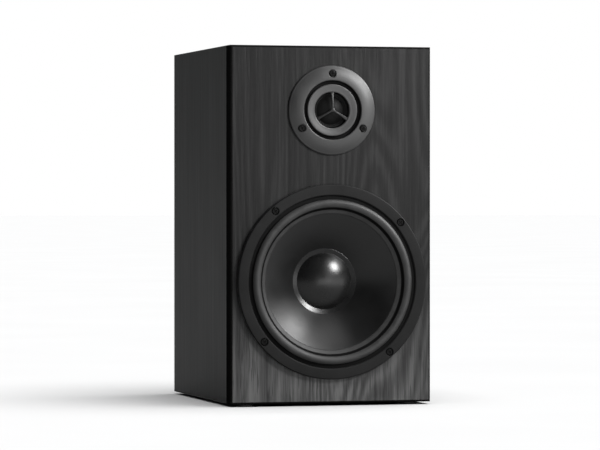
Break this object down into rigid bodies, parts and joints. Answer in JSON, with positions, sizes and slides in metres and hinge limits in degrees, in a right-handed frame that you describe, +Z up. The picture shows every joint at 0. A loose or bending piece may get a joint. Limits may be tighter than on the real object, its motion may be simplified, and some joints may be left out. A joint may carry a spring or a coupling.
{
  "type": "bookshelf speaker",
  "caption": "Two-way bookshelf loudspeaker: black woodgrain box with woofer, dome tweeter, crossover, rear port and binding posts.",
  "frame": {"origin": "middle of the bottom of the box that bounds the whole speaker, at the feet's undersides", "axes": "+Z up, -Y to the front (the drivers face -Y), +X to the right seen from the front"},
  "size_m": [0.178, 0.2168, 0.308],
  "materials": {
    "vinyl_wrap": "satin black vinyl woodgrain film over fibreboard",
    "back_vinyl": "matte black vinyl film over fibreboard",
    "baffle_woodgrain": "satin black ash woodgrain film, black painted edges",
    "foot_rubber": "matte",
    "black_foam": "matte closed-cell foam",
    "black_steel": "satin black powder coat on pressed steel",
    "trim_plastic": "satin, fine texture",
    "surround_rubber": "satin butyl rubber",
    "cone_polymer": "satin black moulded polypropylene",
    "cap_gloss": "gloss black",
    "spider_cloth": "resin-treated cotton, matte",
    "former_aluminium": "plain",
    "copper_wire": "enamelled copper winding, glossy",
    "zinc_steel": "zinc plated",
    "ferrite": "ground ferrite ceramic, dull",
    "phenolic_board": "phenolic paper board",
    "tinned_brass": "tin plated",
    "tinsel_braid": "braided copper tinsel",
    "black_screws": "black oxide, slightly oily",
    "faceplate_plastic": "satin moulded",
    "guard_plastic": "satin moulded",
    "dome_silk": "coated silk, slight sheen",
    "moulded_black": "satin, fine spark texture",
    "circuit_board": "solder mask",
    "nylon": "natural nylon",
    "blue_sleeve": "shrink sleeve",
    "yellow_film": "wrapped film, epoxy ends",
    "cement": "cement-filled ceramic case",
    "gold_brass": "gold plated, polished",
    "red_plastic": "moulded",
    "black_plastic": "moulded",
    "wire_insulation": "PVC, red and black",
    "polyester_wadding": "loose white polyester fibre"
  },
  "bodies": {
    "cabinet": {"left_side_panel": "vinyl_wrap", "right_side_panel": "vinyl_wrap", "top_panel": "vinyl_wrap", "bottom_panel": "vinyl_wrap", "back_panel": "back_vinyl", "front_baffle": "baffle_woodgrain", "rubber_feet": "foot_rubber", "woofer_gasket": "black_foam", "woofer_basket": "black_steel", "woofer_trim_ring": "trim_plastic", "woofer_surround": "surround_rubber", "woofer_spider": "spider_cloth", "woofer_top_plate": "zinc_steel", "woofer_magnet": "ferrite", "woofer_pole_yoke": "zinc_steel", "woofer_terminal_strip": "phenolic_board", "woofer_terminal_tags": "tinned_brass", "woofer_tinsel_leads": "tinsel_braid", "woofer_screws": "black_screws", "tweeter_gasket": "black_foam", "tweeter_faceplate": "faceplate_plastic", "tweeter_guard": "guard_plastic", "tweeter_dome_surround": "dome_silk", "tweeter_carrier_ring": "moulded_black", "tweeter_top_plate": "zinc_steel", "tweeter_magnet": "ferrite", "tweeter_pole_yoke": "zinc_steel", "tweeter_terminal_tags": "tinned_brass", "tweeter_screws": "black_screws", "crossover_board": "circuit_board", "crossover_spacers": "nylon", "crossover_screws": "zinc_steel", "woofer_inductor_bobbin": "moulded_black", "woofer_inductor_winding": "copper_wire", "tweeter_inductor_winding": "copper_wire", "woofer_capacitor": "blue_sleeve", "tweeter_capacitor": "yellow_film", "tweeter_resistor": "cement", "terminal_cup": "moulded_black", "terminal_cup_gasket": "black_foam", "terminal_cup_screws": "black_screws", "positive_post_stud": "gold_brass", "negative_post_stud": "gold_brass", "post_nuts": "gold_brass", "post_solder_lugs": "tinned_brass", "port_tube": "moulded_black", "input_leads": "wire_insulation", "woofer_leads": "wire_insulation", "tweeter_leads": "wire_insulation", "damping_wadding": "polyester_wadding"},
    "woofer_moving": {"woofer_cone": "cone_polymer", "woofer_dust_cap": "cap_gloss", "woofer_coil_former": "former_aluminium", "woofer_voice_coil": "copper_wire"},
    "tweeter_moving": {"tweeter_dome": "dome_silk", "tweeter_voice_coil": "copper_wire"},
    "positive_post_slider": {"positive_knob_insert": "gold_brass"},
    "positive_post_knob": {"positive_knob": "red_plastic"},
    "negative_post_slider": {"negative_knob_insert": "gold_brass"},
    "negative_post_knob": {"negative_knob": "black_plastic"}
  },
  "joints": [
    {"name": "woofer_cone_travel", "type": "slide", "parent": "cabinet", "child": "woofer_moving", "axis": [0, -1, 0], "range_m": [-0.005, 0.005], "stiffness_N_per_m": 1000, "deforming": ["woofer_surround", "woofer_spider", "woofer_tinsel_leads"]},
    {"name": "tweeter_dome_travel", "type": "slide", "parent": "cabinet", "child": "tweeter_moving", "axis": [0, -1, 0], "range_m": [-0.0003, 0.0003], "stiffness_N_per_m": 2000, "deforming": ["tweeter_dome_surround"]},
    {"name": "positive_post_travel", "type": "slide", "parent": "cabinet", "child": "positive_post_slider", "axis": [0, 1, 0], "range_m": [0, 0.005]},
    {"name": "positive_post_turn", "type": "hinge", "parent": "positive_post_slider", "child": "positive_post_knob", "pos_m": [0.00953, 0.0965, 0.092], "axis": [0, 1, 0], "range_deg": [0, 1799]},
    {"name": "negative_post_travel", "type": "slide", "parent": "cabinet", "child": "negative_post_slider", "axis": [0, 1, 0], "range_m": [0, 0.005]},
    {"name": "negative_post_turn", "type": "hinge", "parent": "negative_post_slider", "child": "negative_post_knob", "pos_m": [-0.00953, 0.0965, 0.092], "axis": [0, 1, 0], "range_deg": [0, 1799]}
  ],
  "couplings": [
    {"joint": "positive_post_turn", "follows": "positive_post_travel", "rad_per_m": 6283.2},
    {"joint": "negative_post_turn", "follows": "negative_post_travel", "rad_per_m": 6283.2}
  ]
}
